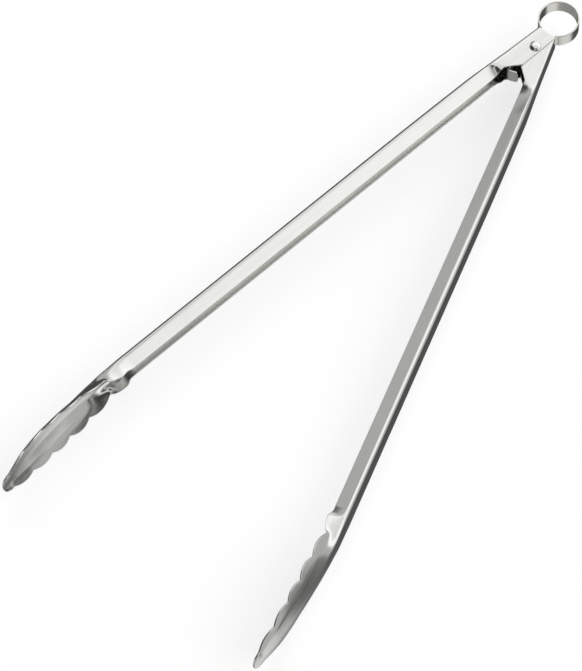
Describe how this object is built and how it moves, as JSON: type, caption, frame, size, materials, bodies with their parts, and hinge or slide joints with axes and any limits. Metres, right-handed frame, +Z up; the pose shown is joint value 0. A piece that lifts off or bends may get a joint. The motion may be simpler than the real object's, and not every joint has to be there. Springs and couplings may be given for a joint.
{
  "type": "spring loaded kitchen tongs",
  "caption": "Long scissor-hinged steel kitchen tongs with scalloped jaws, a spring at the pivot and a pull-ring lock.",
  "frame": {"origin": "centre of the bounding box, on the level of the jaws' lower edges", "axes": "+Z up along the pivot axis, jaws towards -Y, lock ring towards +Y"},
  "size_m": [0.1788, 0.4272, 0.0402],
  "materials": {
    "arm_steel": "fine satin brushed",
    "rivet_steel": "mirror polished",
    "spring_wire": "drawn wire",
    "ring_steel": "smooth rolled strip"
  },
  "bodies": {
    "pivot": {"pivot_rivet": "rivet_steel", "torsion_spring": "spring_wire"},
    "left_arm": {"outer_arm": "arm_steel"},
    "right_arm": {"inner_arm": "arm_steel"},
    "ring": {"lock_ring": "ring_steel"}
  },
  "joints": [
    {"name": "left_arm_hinge", "type": "hinge", "parent": "pivot", "child": "left_arm", "pos_m": [0, 0.17721, 0.02008], "axis": [0, 0, 1], "range_deg": [0, 12.3], "stiffness_Nm_per_rad": 1.2, "springref_deg": -14.9, "deforming": ["torsion_spring"]},
    {"name": "right_arm_hinge", "type": "hinge", "parent": "pivot", "child": "right_arm", "pos_m": [0, 0.17721, 0.02008], "axis": [0, 0, -1], "range_deg": [0, 12.3], "stiffness_Nm_per_rad": 1.2, "springref_deg": -14.9, "deforming": ["torsion_spring"]},
    {"name": "ring_slide", "type": "slide", "parent": "pivot", "child": "ring", "axis": [0, 1, 0], "range_m": [0, 0.007]}
  ],
  "couplings": [
    {"joint": "right_arm_hinge", "follows": "left_arm_hinge", "ratio": 1}
  ]
}
